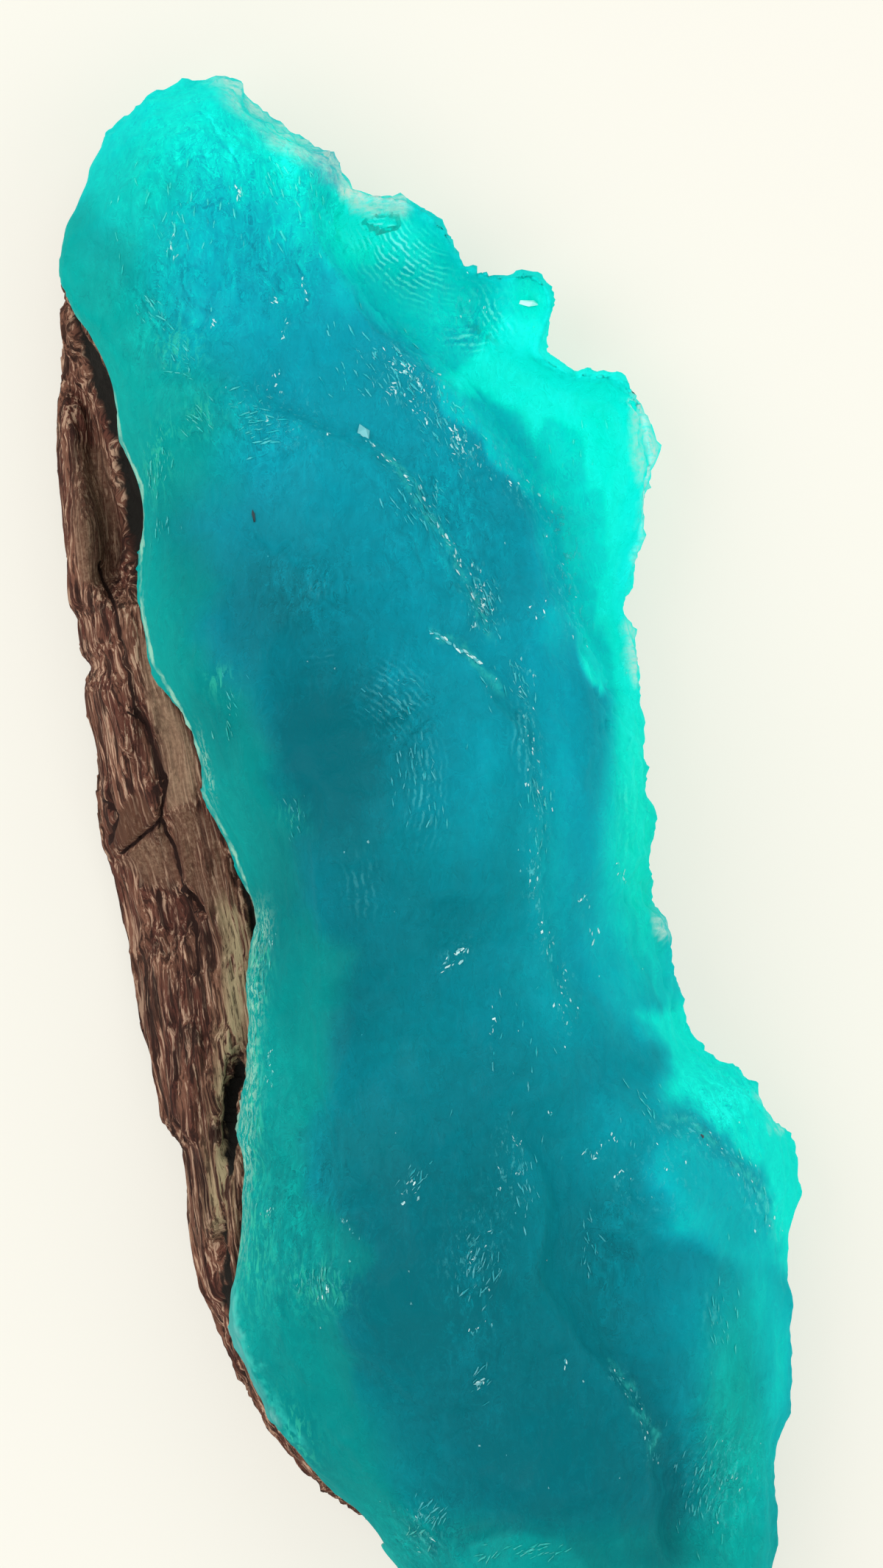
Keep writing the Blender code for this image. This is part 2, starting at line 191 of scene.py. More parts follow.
def besideLine(spots, line):  # pixels to a line, positive on its right going down, and the share passed
    best = np.full(len(spots), 1e9)
    side = np.zeros(len(spots))
    passed = np.zeros(len(spots))
    line = np.array(line, float)
    lengths = np.hypot(*np.diff(line, axis=0).T)
    gone = 0.0
    for first, last, length in zip(line, line[1:], lengths):
        way = (last - first) / length
        away = spots - first
        run = np.clip(away @ way, 0.0, length)
        nearest = away - run[:, None] * way
        distance = np.hypot(nearest[:, 0], nearest[:, 1])
        closer = distance < best
        best = np.where(closer, distance, best)
        left = way[0] * nearest[:, 1] - way[1] * nearest[:, 0]
        side = np.where(closer, np.where(left < 0, 1.0, -1.0), side)
        passed = np.where(closer, (gone + run) / lengths.sum(), passed)
        gone += length
    return best * side, passed


def awayFromEnds(passed, ends):  # 0 at both ends of a line, 1 from a share of it on
    return soft(np.minimum(passed, 1 - passed) / ends)


def alongLine(spots, line, width, ends=0.1):  # 1 on a line, 0 beside it, fading at its ends
    side, passed = besideLine(spots, line)
    return np.exp(-((side / width) ** 2)) * awayFromEnds(passed, ends)


def nearestOf(spots, lines, far, ends):  # pixels to the nearest of several lines, without their ends
    nearest = np.full(len(spots), far)
    for line in lines:
        away, passed = besideLine(spots, line)
        away = np.where((passed > ends) & (passed < 1 - ends), away, far)
        nearest = np.where(np.abs(away) < np.abs(nearest), away, nearest)
    return nearest


def inPatch(spots, x, y, wide, tall, turn=0.0):  # 1 in the middle of a soft patch, 0 outside it
    angle = radians(turn)
    away = spots - np.array((x, y), float)
    across = (away[:, 0] * cos(angle) + away[:, 1] * sin(angle)) / wide
    down = (-away[:, 0] * sin(angle) + away[:, 1] * cos(angle)) / tall
    return np.exp(-1.5 * (across**2 + down**2))


def inPatches(spots, patches):
    return sum(inPatch(spots, *patch) for patch in patches)


def inOutline(spots, outline, softness):  # 1 inside a closed outline, 0 outside it, with a soft edge
    corners = np.array(outline, float)
    inside = np.zeros(len(spots), bool)
    for (x0, y0), (x1, y1) in zip(corners, np.roll(corners, -1, axis=0)):
        crossing = (y0 > spots[:, 1]) != (y1 > spots[:, 1])
        reached = x0 + (spots[:, 1] - y0) * (x1 - x0) / (y1 - y0 if y1 != y0 else 1.0)
        inside ^= crossing & (spots[:, 0] < reached)
    distance = np.abs(besideLine(spots, [*outline, outline[0]])[0])
    return soft(0.5 + 0.5 * np.where(inside, distance, -distance) / softness)


def blurred(thing, values, times):
    edges = np.empty(len(thing.data.edges) * 2, int)
    thing.data.edges.foreach_get("vertices", edges)
    first, second = edges[0::2], edges[1::2]
    count = np.bincount(edges, minlength=len(values))
    for _ in range(times):
        total = np.bincount(first, values[second], len(values))
        total += np.bincount(second, values[first], len(values))
        values = 0.4 * values + 0.6 * total / np.maximum(count, 1)
    return values


def wayAt(turn, tilt):  # a unit vector that leans away from upright by the tilt
    return Vector((sin(tilt) * cos(turn), sin(tilt) * sin(turn), cos(tilt)))


def treeOf(thing):
    mesh = thing.data
    return BVHTree.FromPolygons([v.co for v in mesh.vertices], [p.vertices for p in mesh.polygons])


def thicknessOf(thing):  # how far the stone goes on under each point, by the shorter of many ways
    tree = treeOf(thing)
    ways = []
    for tilt, count in ((0.0, 1), (25.0, 5), (48.0, 7)):
        ways += [wayAt(radians(360.0 * step / count + tilt), radians(tilt)) for step in range(count)]
    values = np.empty(len(thing.data.vertices))
    for index, vertex in enumerate(thing.data.vertices):
        inward = -vertex.normal
        turn = Vector((0.0, 0.0, 1.0)).rotation_difference(inward)
        lengths = []
        for way in ways:
            hit = tree.ray_cast(vertex.co + inward * 0.05 * mm, turn @ way)
            lengths.append(hit[3] if hit[0] else 0.0)
        lengths.sort()
        values[index] = sum(lengths[1:5]) / 4
    return values


# Shader helpers

class Wire:  # a socket that can be reckoned with
    def __init__(self, paint, socket):
        self.paint = paint
        self.socket = socket

    def reckon(self, operation, *values):
        return self.paint.node("Math", {"operation": operation}, dict(enumerate(values)))

    def __add__(self, other):
        return self.reckon("ADD", self, other)

    def __sub__(self, other):
        return self.reckon("SUBTRACT", self, other)

    def __rsub__(self, other):
        return self.reckon("SUBTRACT", other, self)

    def __mul__(self, other):
        return self.reckon("MULTIPLY", self, other)

    def __truediv__(self, other):
        return self.reckon("DIVIDE", self, other)

    __radd__ = __add__
    __rmul__ = __mul__

    def above(self, low=0.0, high=1.0):  # 0 at low, 1 at high, with a soft climb
        sockets = {"Value": self, "From Min": low, "From Max": high}
        return self.paint.node("MapRange", {"interpolation_type": "SMOOTHSTEP"}, sockets)

    def hump(self, start, full, fall, end):  # 1 from full to fall, 0 before the start and past the end
        return self.above(start, full) - self.above(fall, end)


class Paint:  # one material and the nodes in it
    def __init__(self, name, tones=None):
        self.tones = tones
        self.material = bpy.data.materials.new(name)
        self.material.use_nodes = True
        self.tree = self.material.node_tree
        self.shader = self.tree.nodes["Principled BSDF"]

    def node(self, kind, settings=None, sockets=None, out=0):
        node = self.tree.nodes.new("ShaderNode" + kind)
        for setting, value in (settings or {}).items():
            if setting == "stops":
                ramp = node.color_ramp
                while len(ramp.elements) < len(value):
                    ramp.elements.new(1.0)
                for element, (place, colour) in zip(ramp.elements, value):
                    element.position = place
                    element.color = (*tone(*colour), 1.0)
            else:
                setattr(node, setting, value)
        for socket, value in (sockets or {}).items():
            self.join(node.inputs[socket], value)
        return Wire(self, node.outputs[out])

    def join(self, socket, value):
        if isinstance(value, Wire):
            self.tree.links.new(value.socket, socket)
        elif isinstance(value, tuple) and len(value) == 3 and socket.type == "RGBA":
            socket.default_value = (*tone(*value), 1.0)
        else:
            socket.default_value = value

    def set(self, **sockets):
        for name, value in sockets.items():
            self.join(self.shader.inputs[name.replace("_", " ")], value)

    def place(self, stretch=None):  # object coordinates in millimetres, drawn out across and down the picture
        turn = leanAngle if stretch else 0.0
        where = self.node("TexCoord", out=3)
        where = self.node("Mapping", {}, {"Vector": where, "Rotation": (0.0, 0.0, turn)})
        scale = tuple(1.0 / (mm * part) for part in (*(stretch or (1.0, 1.0)), 1.0))
        return self.node("Mapping", {}, {"Vector": where, "Scale": scale})

    def __getitem__(self, name):  # a value that the piece carries at its points
        return self.node("Attribute", {"attribute_name": name}, out=2)

    def noise(self, size, detail=3.0, rough=0.5, stretch=None, warp=0.0, at=None):
        sockets = {"Vector": at or self.place(stretch), "Scale": 1.0 / size, "Detail": detail}
        sockets.update({"Roughness": rough, "Distortion": warp})
        return self.node("TexNoise", {}, sockets)

    def stray(self, far, *kind):  # a noise that goes to both sides of 0
        return (self.noise(*kind) - 0.5) * far

    def mix(self, share, first, second):
        return self.node("Mix", {"data_type": "RGBA"}, {0: share, 6: first, 7: second}, out=2)

    def cover(self, share, name):  # lays one of its tones over the colour so far
        self.colour = self.mix(share, self.colour, self.tones[name])

    def ramp(self, share, stops):
        return self.node("ValToRGB", {"stops": stops}, {"Fac": share})

    def bump(self, height, depth, under=None):
        sockets = {"Height": height, "Distance": depth}
        if under:
            sockets["Normal"] = under
        return self.node("Bump", {}, sockets)


def tone(red, green, blueness):  # the light of a colour that a screen shows
    shares = [part / 255 for part in (red, green, blueness)]
    return tuple(s / 12.92 if s <= 0.04045 else ((s + 0.055) / 1.055) ** 2.4 for s in shares)


# The blue mass

blue = {
    "node": "hemimorphite",
    "even": (0.42 * mm, 7),  # size of its faces, rounds of smoothing
    "coarse": (1.1 * mm, 5),  # the same for the copy that its thickness is measured on
    "thickest": 21.0 * mm,  # where its colour is deepest
    "stray": (14, 3.0 * mm, 1.3, 9.6),  # of its ragged outlines: pixels, size, seeds
    "seeds": (3.7, 6.1, 2.9),  # of its relief
}

stepLine = [(455, 300), (464, 341), (472, 383), (523, 438), (578, 484), (598, 551), (657, 602), (697, 650),
            (732, 681), (756, 701), (768, 749), (768, 800), (791, 883)]
rimLine = [(791, 883), (803, 919), (839, 942), (847, 966), (839, 1025), (839, 1097), (842, 1160), (860, 1244),
           (864, 1296), (895, 1358), (908, 1415), (950, 1460)]
ridgeLine = [(322, 530), (440, 575), (500, 600), (560, 656), (598, 721), (617, 752), (640, 813), (672, 880)]
shortRidge = [(582, 857), (620, 880), (653, 903), (690, 945)]
spineLine = [(700, 930), (722, 1000), (726, 1050), (737, 1107), (724, 1180), (728, 1244), (750, 1296),
             (768, 1336), (772, 1376), (763, 1424)]
creaseLine = [(814, 1845), (826, 1855), (859, 1894), (881, 1937), (889, 1992), (903, 2060), (908, 2132)]
hipLine = [(887, 1525), (939, 1534), (992, 1569), (1023, 1609), (1045, 1657), (1060, 1700)]
lobeLine = [(851, 1612), (882, 1645), (939, 1688), (988, 1720)]
footLine = [(600, 2132), (640, 2100), (690, 2085), (760, 2095), (800, 2132)]
bandLine = [
    (165, 316), (207, 400), (237, 471), (312, 513), (321, 577), (300, 650), (245, 715), (296, 790),
    (258, 849), (287, 912), (329, 955), (350, 1005), (367, 1060), (388, 1098), (409, 1123), (392, 1157),
    (401, 1199), (397, 1241), (440, 1275), (468, 1300), (446, 1384), (431, 1466), (409, 1554),
    (415, 1630), (480, 1674), (497, 1707), (458, 1740), (458, 1806), (469, 1894), (475, 1949),
    (491, 2003), (557, 2069), (600, 2132),
]

blueRelief = {
    "ledges": [  # line, drop in millimetres to its right, width of the slope in pixels
        (ridgeLine, 0.1, 8), (rimLine, 0.3, 8), (creaseLine, 0.4, 9), (lobeLine, -0.25, 12),
        (hipLine, 0.25, 10),
    ],
    "ridges": [  # line, height in millimetres, half width in pixels
        (ridgeLine, 0.15, 8), (shortRidge, 0.25, 7), (spineLine, 0.2, 10), (footLine, 0.2, 12),
    ],
    "wavy": (0.25, 7 * mm),  # height in millimetres and size
    "shells": (0.3, 5.5 * mm),
    "grain": (0.1, 1.8 * mm),
    "rim": (0.9, 2.6 * mm),  # more broken where it turns down to the sides
    "rimGrain": (0.3, 1.1 * mm),
    "wornFoot": (1450, 200),  # the rim is less broken below this, over so many pixels
    "ledgeFade": 120,  # pixels over which a ledge comes back to the level beside it
    "trims": [  # where its sides are cut back: a patch and millimetres
        (600, 1100, 3000, 4000, 0.35), (950, 1410, 70, 70, 1.1), (120, 480, 50, 60, 0.6),
        (170, 660, 50, 60, 0.4), (262, 1060, 50, 40, 0.5), (300, 1680, 50, 60, 0.9),
        (420, 190, 60, 60, 0.5),
    ],
    "calm": [  # patches where its edge runs smoothly
        (112, 250, 40, 70), (131, 488, 50, 60), (179, 655, 50, 70), (312, 1688, 60, 70),
        (505, 2092, 70, 60),
    ],
    "calming": 60,  # rounds of smoothing there
}

# Where the light painted as shining through the stone is brighter or darker than the thickness alone says;
# some patches also paint the shade and light of its relief
shelfArea = [*stepLine, *rimLine, (1000, 1300), (960, 700), (900, 420), (640, 250)]
glowArea = [(600, 512), (625, 531), (665, 539), (705, 559), (728, 587), (736, 614), (740, 666), (756, 678),
            (790, 700), (800, 790), (800, 883), (803, 919), (839, 942), (900, 950), (960, 700), (880, 440),
            (690, 420), (655, 470)]
lobeArea = [(880, 1590), (904, 1636), (950, 1684), (1004, 1726), (1090, 1740), (1090, 1600), (1045, 1657),
            (1023, 1609), (992, 1569), (939, 1540), (900, 1540)]
hipRim = [(870, 1380), (930, 1470), (950, 1515), (1000, 1560), (1030, 1600), (1050, 1660), (1060, 1720),
          (1120, 1700), (1110, 1560), (1040, 1440), (950, 1340)]
bandArea = [*bandLine, (300, 2132), (0, 1500), (0, 200)]
depths = [  # a patch, or an outline with its softness and edge, then how deep and how fully; thin means painted bright as if lit through
    (270, 150, 190, 110, -20, 0.13, 0.9), (150, 340, 110, 130, 0.42, 0.8),
    (335, 205, 60, 60, -35, 0.03, 0.9), (425, 295, 34, 60, -30, 0.1, 0.8),
    (380, 250, 110, 90, 30, 0.3, 0.7), (400, 560, 190, 190, 0.6, 0.8), (395, 400, 34, 40, 0.42, 0.8),
    (305, 500, 44, 50, 0.64, 0.7), (345, 680, 80, 60, 0.72, 0.8), (572, 488, 26, 24, 0.44, 0.6),
    (620, 640, 110, 130, -20, 0.6, 0.8), (350, 820, 130, 110, 0.9, 1.0), (640, 900, 170, 170, 0.62, 0.9),
    (440, 1030, 130, 200, -12, 1.1, 1.0), (640, 1110, 130, 110, 0.64, 0.9),
    (500, 1330, 150, 160, 0.92, 0.9), (475, 1340, 44, 200, 0.98, 0.7), (570, 1120, 40, 50, 0.82, 0.6),
    (700, 1270, 70, 110, 0.7, 0.8), (840, 1300, 70, 150, -15, 0.38, 0.9),
    (560, 1740, 190, 310, 1.02, 1.0), (720, 1990, 210, 190, 1.02, 1.0), (750, 1660, 50, 60, 0.84, 0.6),
    ([*footLine[1:], (800, 2160), (600, 2160)], 7, "clean", 0.7, 0.75),
    (870, 2120, 80, 30, 0.94, 0.7), (830, 1530, 90, 90, 0.67, 0.8), (985, 1850, 55, 180, 0.46, 0.9),
    (760, 1060, 60, 260, 0.54, 0.95), (755, 1360, 60, 120, -8, 0.58, 0.9),
    (752, 1200, 40, 130, 0.46, 0.8), (665, 1030, 36, 60, 0.52, 0.7), (930, 1930, 26, 60, 0.66, 0.6),
    # The patch at (905, 2040) paints shade on the side that falls away right of the crease
    (750, 1560, 60, 110, 0.74, 0.8), (600, 760, 60, 60, 0.58, 0.8), (905, 2040, 34, 130, 1.0, 0.8),
    (shelfArea, 7, "ragged", 0.34, 0.95),
    (540, 330, 90, 60, 35, 0.06, 0.9), (482, 304, 44, 70, -0.08, 1.0), (390, 210, 40, 60, -30, 0.04, 0.9),
    (405, 320, 36, 50, -20, 0.28, 0.8), (480, 400, 40, 40, 0.36, 0.7), (600, 420, 90, 50, 20, 0.2, 0.9),
    (600, 484, 34, 24, 35, 0.26, 0.8), (524, 520, 30, 60, -35, 0.66, 0.8),
    (glowArea, 10, "ragged", 0.03, 0.95),
    (785, 745, 44, 90, -6, 0.24, 0.9), (742, 740, 26, 60, -10, 0.38, 0.8), (752, 666, 26, 26, 0.12, 0.8),
    (752, 850, 34, 60, 0.38, 0.8), (815, 880, 30, 60, -30, 0.3, 0.9), (735, 410, 70, 70, 0.08, 1.0),
    (690, 480, 50, 40, 0.02, 1.0), (885, 720, 45, 190, 4, 0.0, 0.9), (866, 1060, 50, 260, 0.08, 1.0),
    (838, 1150, 34, 130, 0.24, 0.9), (835, 1310, 26, 50, -20, 0.5, 0.9),
    (890, 1520, 70, 60, 20, 0.5, 0.6),
    # The lobe is painted lighter on its upper right, where the light falls, fading into its shaded side
    (lobeArea, 18, "ragged", 0.38, 0.8),
    (hipRim, 14, "ragged", 0.12, 0.95),
    (920, 1478, 30, 34, 20, 0.1, 0.9), (1034, 1770, 34, 90, 0.3, 0.9),
    (1060, 1860, 24, 150, 4, 0.24, 0.8), (852, 960, 22, 120, 0.06, 0.8), (925, 1665, 40, 36, 0.28, 0.7),
    (1030, 1990, 40, 110, 0.42, 0.8), (935, 1790, 44, 60, 0.62, 0.7), (970, 1499, 50, 34, 30, 0.06, 0.9),
    ([(730, 592), (742, 566), (793, 590), (797, 662), (744, 668)], 3, "clean", 0.27, 0.6),
    ([(757, 655), (797, 667), (820, 664), (826, 770), (808, 802), (770, 770)], 4, "clean", 0.22, 0.6),
    ([(775, 772), (812, 804), (806, 868), (788, 850)], 4, "clean", 0.34, 0.6),
    ([(795, 868), (828, 878), (836, 940), (806, 930)], 3, "clean", 0.3, 0.6),
    (bandArea, 28, "ragged", 0.7, 0.6),
    (215, 440, 50, 90, 0.56, 0.7), (250, 740, 70, 130, -12, 0.84, 0.8),
    (300, 980, 50, 110, -20, 0.84, 0.8), (385, 1230, 50, 150, 0.92, 0.9), (385, 1620, 50, 140, 0.76, 0.7),
    (420, 1960, 80, 160, -25, 0.82, 1.0),
]
bandSoftness = [(0, 110), (650, 80), (880, 44), (1250, 34), (1450, 36), (1700, 20), (2132, 30)]  # going down
greens = [  # greener patches at the top, on the right and at the foot
    (200, 250, 90, 110), (1000, 1960, 60, 200), (620, 2110, 150, 60), (870, 1120, 40, 200),
    (850, 2120, 240, 60), (470, 1960, 60, 90, -20),
]
greenDown = [(750, 0.0), (1150, 0.28), (2132, 0.34)]  # greener down the picture
crusts = [  # pale crusts along the rim: outline and softness
    ([(270, 75), (312, 60), (352, 100), (395, 130), (440, 150), (475, 195), (485, 262), (449, 234),
      (407, 198), (360, 172), (326, 140), (300, 115)], 20),
    ([(468, 255), (505, 248), (552, 262), (552, 290), (515, 304), (478, 292)], 8),
    ([(862, 540), (890, 560), (900, 650), (884, 780), (866, 790), (868, 680), (856, 610)], 9),
    ([(848, 840), (870, 850), (880, 930), (862, 935)], 8),
    ([(888, 1236), (912, 1240), (914, 1280), (890, 1266)], 6),
    ([(1026, 1480), (1060, 1500), (1075, 1545), (1050, 1536)], 7),
]
chip = ([(270, 1690), (312, 1700), (322, 1790), (340, 1850), (362, 1905), (376, 1930), (300, 1900)], 9)
ripples = [  # a patch, the centre of its arcs, pixels between its lines, strength
    (545, 352, 72, 46, 38, (630, 262), 8, 2.0), (520, 306, 26, 14, (520, -400), 8, 1.6),
    (668, 428, 30, 44, -28, (1187, 136), 10, 1.3), (640, 462, 40, 18, 10, (640, 1200), 10, 1.2),
    (536, 950, 54, 60, -8, (439, 1060), 9, 0.7), (578, 1070, 32, 90, (300, 1060), 9, 0.75),
    (492, 1205, 32, 60, (100, 1260), 11, 0.5), (710, 1005, 20, 70, (300, 1005), 9, 0.7),
    (570, 2085, 40, 50, (170, 2485), 11, 0.5), (968, 1790, 20, 60, (300, 1700), 12, 0.5),
    (985, 2050, 34, 70, (300, 2000), 12, 0.4), (850, 1110, 16, 70, (300, 1100), 10, 0.6),
    (1030, 1635, 24, 46, -25, (700, 1800), 11, 0.7), (430, 800, 18, 18, (300, 800), 10, 0.5),
    (440, 893, 30, 14, (440, 500), 10, 0.4),
]
wisps = [  # patches of pale green streaks
    (243, 475, 34, 40, -30), (275, 568, 32, 26, -40), (215, 625, 22, 60, 10), (300, 926, 22, 28, -40),
    (398, 1110, 18, 22, -40), (352, 1310, 20, 64), (352, 1310, 12, 50), (345, 1500, 20, 150),
    (340, 1700, 36, 90), (430, 1745, 50, 40, 30), (400, 1950, 28, 60, -25), (180, 760, 16, 60),
]
fringes = [  # lacy pale patches along the brown
    (352, 1262, 16, 34), (344, 1350, 13, 60), (340, 1460, 12, 70), (333, 1570, 12, 70),
    (322, 1665, 14, 60), (282, 1045, 5, 50, -12),
]
ridgeHighlights = [  # thin edges painted lighter as highlights along the ridges: line and half width in pixels
    (shortRidge, 4), (ridgeLine[2:], 4), (hipLine, 4), (creaseLine[:5], 3),
    ([(316, 1707), (326, 1790), (345, 1850), (376, 1910), (420, 1980)], 5),
    ([(464, 262), (500, 250), (552, 262)], 6),
]
contactLine = [(100, 420), (130, 480), (156, 540), (164, 600), (192, 660), (194, 720), (190, 780), (195, 840),
               (208, 900), (243, 960), (270, 1020), (277, 1080), (310, 1140), (334, 1200), (350, 1260),
               (340, 1320)]
shadedCreases = [  # painted shade along fine creases, with a painted highlight on one side
    [(268, 148), (285, 165), (300, 190), (318, 215), (330, 242)],
    [(238, 250), (246, 226), (266, 212), (290, 216)],
    [(312, 262), (296, 276), (272, 284)],
    [(330, 318), (345, 335), (352, 360), (370, 385), (392, 402)],
    [(180, 388), (200, 420), (212, 450), (232, 482), (250, 505)],
    [(398, 350), (412, 372), (420, 400), (412, 432)],
    [(262, 330), (248, 352), (246, 384), (262, 412), (290, 424)],
]
rough = [  # patches with a rougher, mottled break
    (230, 420, 90, 100), (370, 370, 80, 70), (290, 230, 130, 110), (440, 260, 110, 70, 40),
    (640, 450, 50, 34), (350, 590, 110, 60, 25), (600, 700, 90, 130, -20), (980, 1500, 60, 60),
    (390, 1650, 80, 170), (980, 2000, 70, 130), (570, 2090, 90, 60), (540, 960, 50, 70),
    (420, 800, 70, 60), (640, 1760, 50, 120), (830, 1700, 40, 100),
]

blueSide = [  # from thin to deep: the stone's own deeper blue where thick, and at the thin end painted as bright as light shining through
    (0.0, (18, 255, 240)), (0.1, (4, 238, 222)), (0.25, (4, 212, 208)), (0.4, (6, 185, 196)),
    (0.55, (8, 160, 180)), (0.7, (7, 141, 160)), (0.85, (5, 122, 138)), (1.0, (3, 104, 117)),
]
# The same for the green band, its thin end also painted as bright as light shining through
greenSide = [
    (0.0, (30, 255, 228)), (0.15, (8, 228, 206)), (0.35, (5, 194, 183)), (0.55, (5, 166, 160)),
    (0.75, (4, 140, 139)), (1.0, (3, 110, 116)),
]
streakTones = {
    "line": (150, 255, 250), "fleck": (90, 214, 222), "edge": (60, 220, 205), "wisp": (60, 204, 168),
    "crust": (200, 234, 222), "chip": (140, 200, 198), "contact": (170, 226, 200),
}


def carveBlue(thing):
    points = pointsOf(thing)
    upright = pointsOf(thing, "normal")[:, 2]
    spots = toPicture(points)
    seed, rimSeed, grainSeed = blue["seeds"]
    facing = soft((upright - 0.1) / 0.5)
    rise = np.zeros(len(points))
    for line, drop, width in blueRelief["ledges"]:
        side, passed = besideLine(spots, line)
        fade = np.exp(-np.clip(side, 0, None) / blueRelief["ledgeFade"])
        rise -= drop * soft(side / width + 0.5) * fade * awayFromEnds(passed, 0.15) * facing
    for line, height, width in blueRelief["ridges"]:
        rise += height * alongLine(spots, line, width) * facing
    for kind, maker in (("wavy", bumps), ("shells", shells), ("grain", bumps)):
        height, size = blueRelief[kind]
        rise += height * maker(points, size, seed)
    turning = soft((0.75 - upright) / 0.5)
    wornFrom, wornOver = blueRelief["wornFoot"]
    ragged = turning * (1 - 0.7 * inOutline(spots, bandArea, 40))
    ragged *= 1 - 0.6 * soft((spots[:, 1] - wornFrom) / wornOver)
    height, size = blueRelief["rim"]
    fine, fineSize = blueRelief["rimGrain"]
    broken = height * (shells(points, size, rimSeed) - 0.25) + fine * bumps(points, fineSize, grainSeed)
    rise += ragged * broken
    for *patch, cut in blueRelief["trims"]:
        rise -= cut * turning * inPatch(spots, *patch)
    pushOut(thing, rise)
    points = pointsOf(thing)
    calm = np.clip(2.0 * inPatches(spots, blueRelief["calm"]), 0, 1)
    for axis in range(3):
        points[:, axis] += (blurred(thing, points[:, axis], blueRelief["calming"]) - points[:, axis]) * calm
    movePoints(thing, points)


def depthOf(thing, points, spots, ragged):  # how deep the light sinks in, 0 to 1, which the paints turn into the stone's deeper colour and a painted glow of light through thin parts
    coarse = evenCopy(blue["node"], "coarse", *blue["coarse"])
    thick = blurred(coarse, thicknessOf(coarse), 12)
    finder = finderOf(pointsOf(coarse))
    bpy.data.objects.remove(coarse)
    depth = np.empty(len(points))
    for index, spot in enumerate(points):
        near = finder.find_n(spot, 4)
        weights = [1.0 / (found[2] + 0.1 * mm) for found in near]
        depth[index] = sum(w * thick[found[1]] for w, found in zip(weights, near)) / sum(weights)
    depth = 0.1 + 0.8 * blurred(thing, depth / blue["thickest"], 6)
    for *shape, target, share in depths:
        if len(shape) == 3:
            outline, softness, edge = shape
            mask = inOutline(ragged if edge == "ragged" else spots, outline, softness)
        else:
            mask = inPatch(spots, *shape)
        depth += (target - depth) * mask * share
    return depth


def gradeBlue(thing, brownThing):
    points = pointsOf(thing)
    upright = pointsOf(thing, "normal")[:, 2]
    spots = toPicture(points)
    ragged = strayed(spots, points, *blue["stray"])
    contact = finderOf(pointsOf(brownThing))
    beside = np.array([contact.find(spot)[2] for spot in points])
    green = inOutline(ragged, bandArea, np.interp(spots[:, 1], *zip(*bandSoftness)))
    green += 0.7 * inPatches(spots, greens)
    green += np.interp(spots[:, 1], *zip(*greenDown))
    upward = soft((upright - 0.1) / 0.4)
    side, passed = besideLine(spots, contactLine)
    # Where painted sparkle gathers: around the glint patches and along the glint lines
    frost = sum(inPatch(spots, x, y, wide * 1.3, tall * 1.2, turn) * min(1.0, count / 30)
                for x, y, wide, tall, turn, count, *lengths in glints["patches"])
    frost += sum(alongLine(spots, line, spread + 2) for line, spread, *rest in glints["lines"])
    strongest, phase = np.zeros(len(points)), np.zeros(len(points))
    for *patch, centre, spacing, strength in ripples:
        mask = inPatch(spots, *patch) * strength
        turns = np.hypot(*(spots - np.array(centre)).T) / spacing
        phase = np.where(mask > strongest, turns, phase)
        strongest = np.maximum(mask, strongest)
    giveValues(
        thing,
        depth=depthOf(thing, points, spots, ragged),
        green=np.clip(green, 0, 1),
        beside=beside / mm,
        level=soft((upright - 0.35) / 0.5),
        crust=upward * sum(inOutline(ragged, *crust) for crust in crusts),
        chip=(0.2 + 0.8 * upward) * inOutline(ragged, *chip),
        rind=side,
        rindShare=awayFromEnds(passed, 0.06),
        frost=np.clip(frost, 0, 1),
        edge=np.clip(sum(alongLine(ragged, *edge) for edge in ridgeHighlights), 0, 1),
        rough=np.clip(inPatches(spots, rough), 0, 1),
        wisp=inPatches(spots, wisps),
        fringe=np.clip(inPatches(spots, fringes), 0, 1),
        crease=nearestOf(spots, shadedCreases, 30.0, 0.01),
        phase=phase,
        ripple=strongest,
    )


